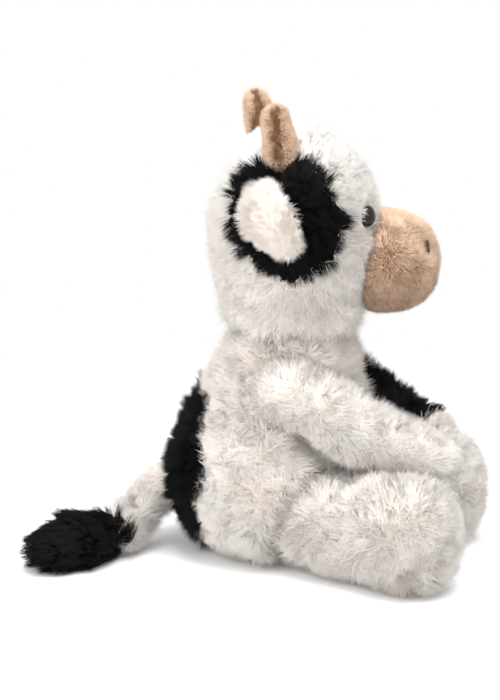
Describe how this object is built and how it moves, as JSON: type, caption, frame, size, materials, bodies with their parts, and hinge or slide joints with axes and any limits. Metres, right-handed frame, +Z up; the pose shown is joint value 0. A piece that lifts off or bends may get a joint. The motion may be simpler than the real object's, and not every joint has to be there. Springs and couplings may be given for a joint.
{
  "type": "plush cow",
  "caption": "Seated plush cow with long white and black pile, short tan horns and muzzle, stuffed limbs, drooping ears and a tufted tail.",
  "frame": {"origin": "middle of the flat seat under the torso, on the surface that the toy sits on", "axes": "+X the way the torso and legs point, +Z up, +Y to the toy's own left; the head looks 18 degrees to the left of +X"},
  "size_m": [0.2245, 0.1365, 0.2394],
  "materials": {
    "white_plush": "long shaggy warm white pile",
    "black_plush": "long shaggy black pile",
    "tan_plush": "short dense tan pile",
    "brown_thread": "twisted sewing thread",
    "fibre": "loose polyester fibre",
    "bean_cloth": "plain woven bag of plastic beans",
    "black_plastic": "polished dome",
    "white_plastic": "moulded"
  },
  "bodies": {
    "torso": {"torso_cover": "white_plush", "back_patch": "black_plush", "torso_fill": "fibre", "bean_bag": "bean_cloth"},
    "neck": {"neck_fill": "fibre"},
    "head": {"head_cover": "white_plush", "head_patch": "black_plush", "head_fill": "fibre", "muzzle_cover": "tan_plush", "muzzle_fill": "fibre", "nostril_right": "brown_thread", "nostril_left": "brown_thread", "horn_cover_right": "tan_plush", "horn_fill_right": "fibre", "horn_cover_left": "tan_plush", "horn_fill_left": "fibre", "eye_right": "black_plastic", "eye_left": "black_plastic", "eye_washer_right": "white_plastic", "eye_washer_left": "white_plastic"},
    "ear_right": {"ear_outer_right": "white_plush", "ear_lining_right": "white_plush"},
    "ear_left": {"ear_outer_left": "white_plush", "ear_lining_left": "white_plush"},
    "arm_right": {"arm_cover_right": "white_plush", "arm_fill_right": "fibre"},
    "arm_left": {"arm_cover_left": "white_plush", "arm_fill_left": "fibre", "arm_patch_left": "black_plush"},
    "leg_right": {"leg_cover_right": "white_plush", "leg_fill_right": "fibre"},
    "leg_left": {"leg_cover_left": "white_plush", "leg_fill_left": "fibre"},
    "tail": {"tail_cover": "white_plush", "tail_fill": "fibre"},
    "tuft": {"tuft_cover": "black_plush", "tuft_fill": "fibre"}
  },
  "joints": [
    {"name": "neck_turn", "type": "hinge", "parent": "torso", "child": "neck", "pos_m": [0.021, 0, 0.1], "axis": [0, 0, 1], "range_deg": [-35, 35]},
    {"name": "head_nod", "type": "hinge", "parent": "neck", "child": "head", "pos_m": [0.021, 0, 0.1], "axis": [-0.309, 0.9511, 0], "range_deg": [-12, 12]},
    {"name": "ear_lift_right", "type": "hinge", "parent": "head", "child": "ear_right", "pos_m": [0.00739, -0.04027, 0.19906], "axis": [-0.747, 0.2204, -0.6272], "range_deg": [0, 50]},
    {"name": "ear_lift_left", "type": "hinge", "parent": "head", "child": "ear_left", "pos_m": [-0.01368, 0.02458, 0.19906], "axis": [0.4748, 0.6174, 0.6272], "range_deg": [0, 50]},
    {"name": "arm_lift_right", "type": "hinge", "parent": "torso", "child": "arm_right", "pos_m": [0.027, -0.037, 0.094], "axis": [0, -0.7986, -0.6018], "range_deg": [0, 60]},
    {"name": "arm_lift_left", "type": "hinge", "parent": "torso", "child": "arm_left", "pos_m": [0.027, 0.037, 0.094], "axis": [0, -0.766, 0.6428], "range_deg": [0, 45]},
    {"name": "leg_swing_right", "type": "hinge", "parent": "torso", "child": "leg_right", "pos_m": [0.035, -0.028, 0.027], "axis": [0, 0, -1], "range_deg": [0, 20]},
    {"name": "leg_swing_left", "type": "hinge", "parent": "torso", "child": "leg_left", "pos_m": [0.035, 0.028, 0.027], "axis": [0, 0, 1], "range_deg": [0, 20]},
    {"name": "tail_swing", "type": "hinge", "parent": "torso", "child": "tail", "pos_m": [-0.042, 0, 0.033], "axis": [0, 0, 1], "range_deg": [-45, 10]},
    {"name": "tuft_curl", "type": "hinge", "parent": "tail", "child": "tuft", "pos_m": [-0.071, -0.034, 0.0115], "axis": [-0.7431, 0.6691, 0], "range_deg": [0, 40]}
  ]
}
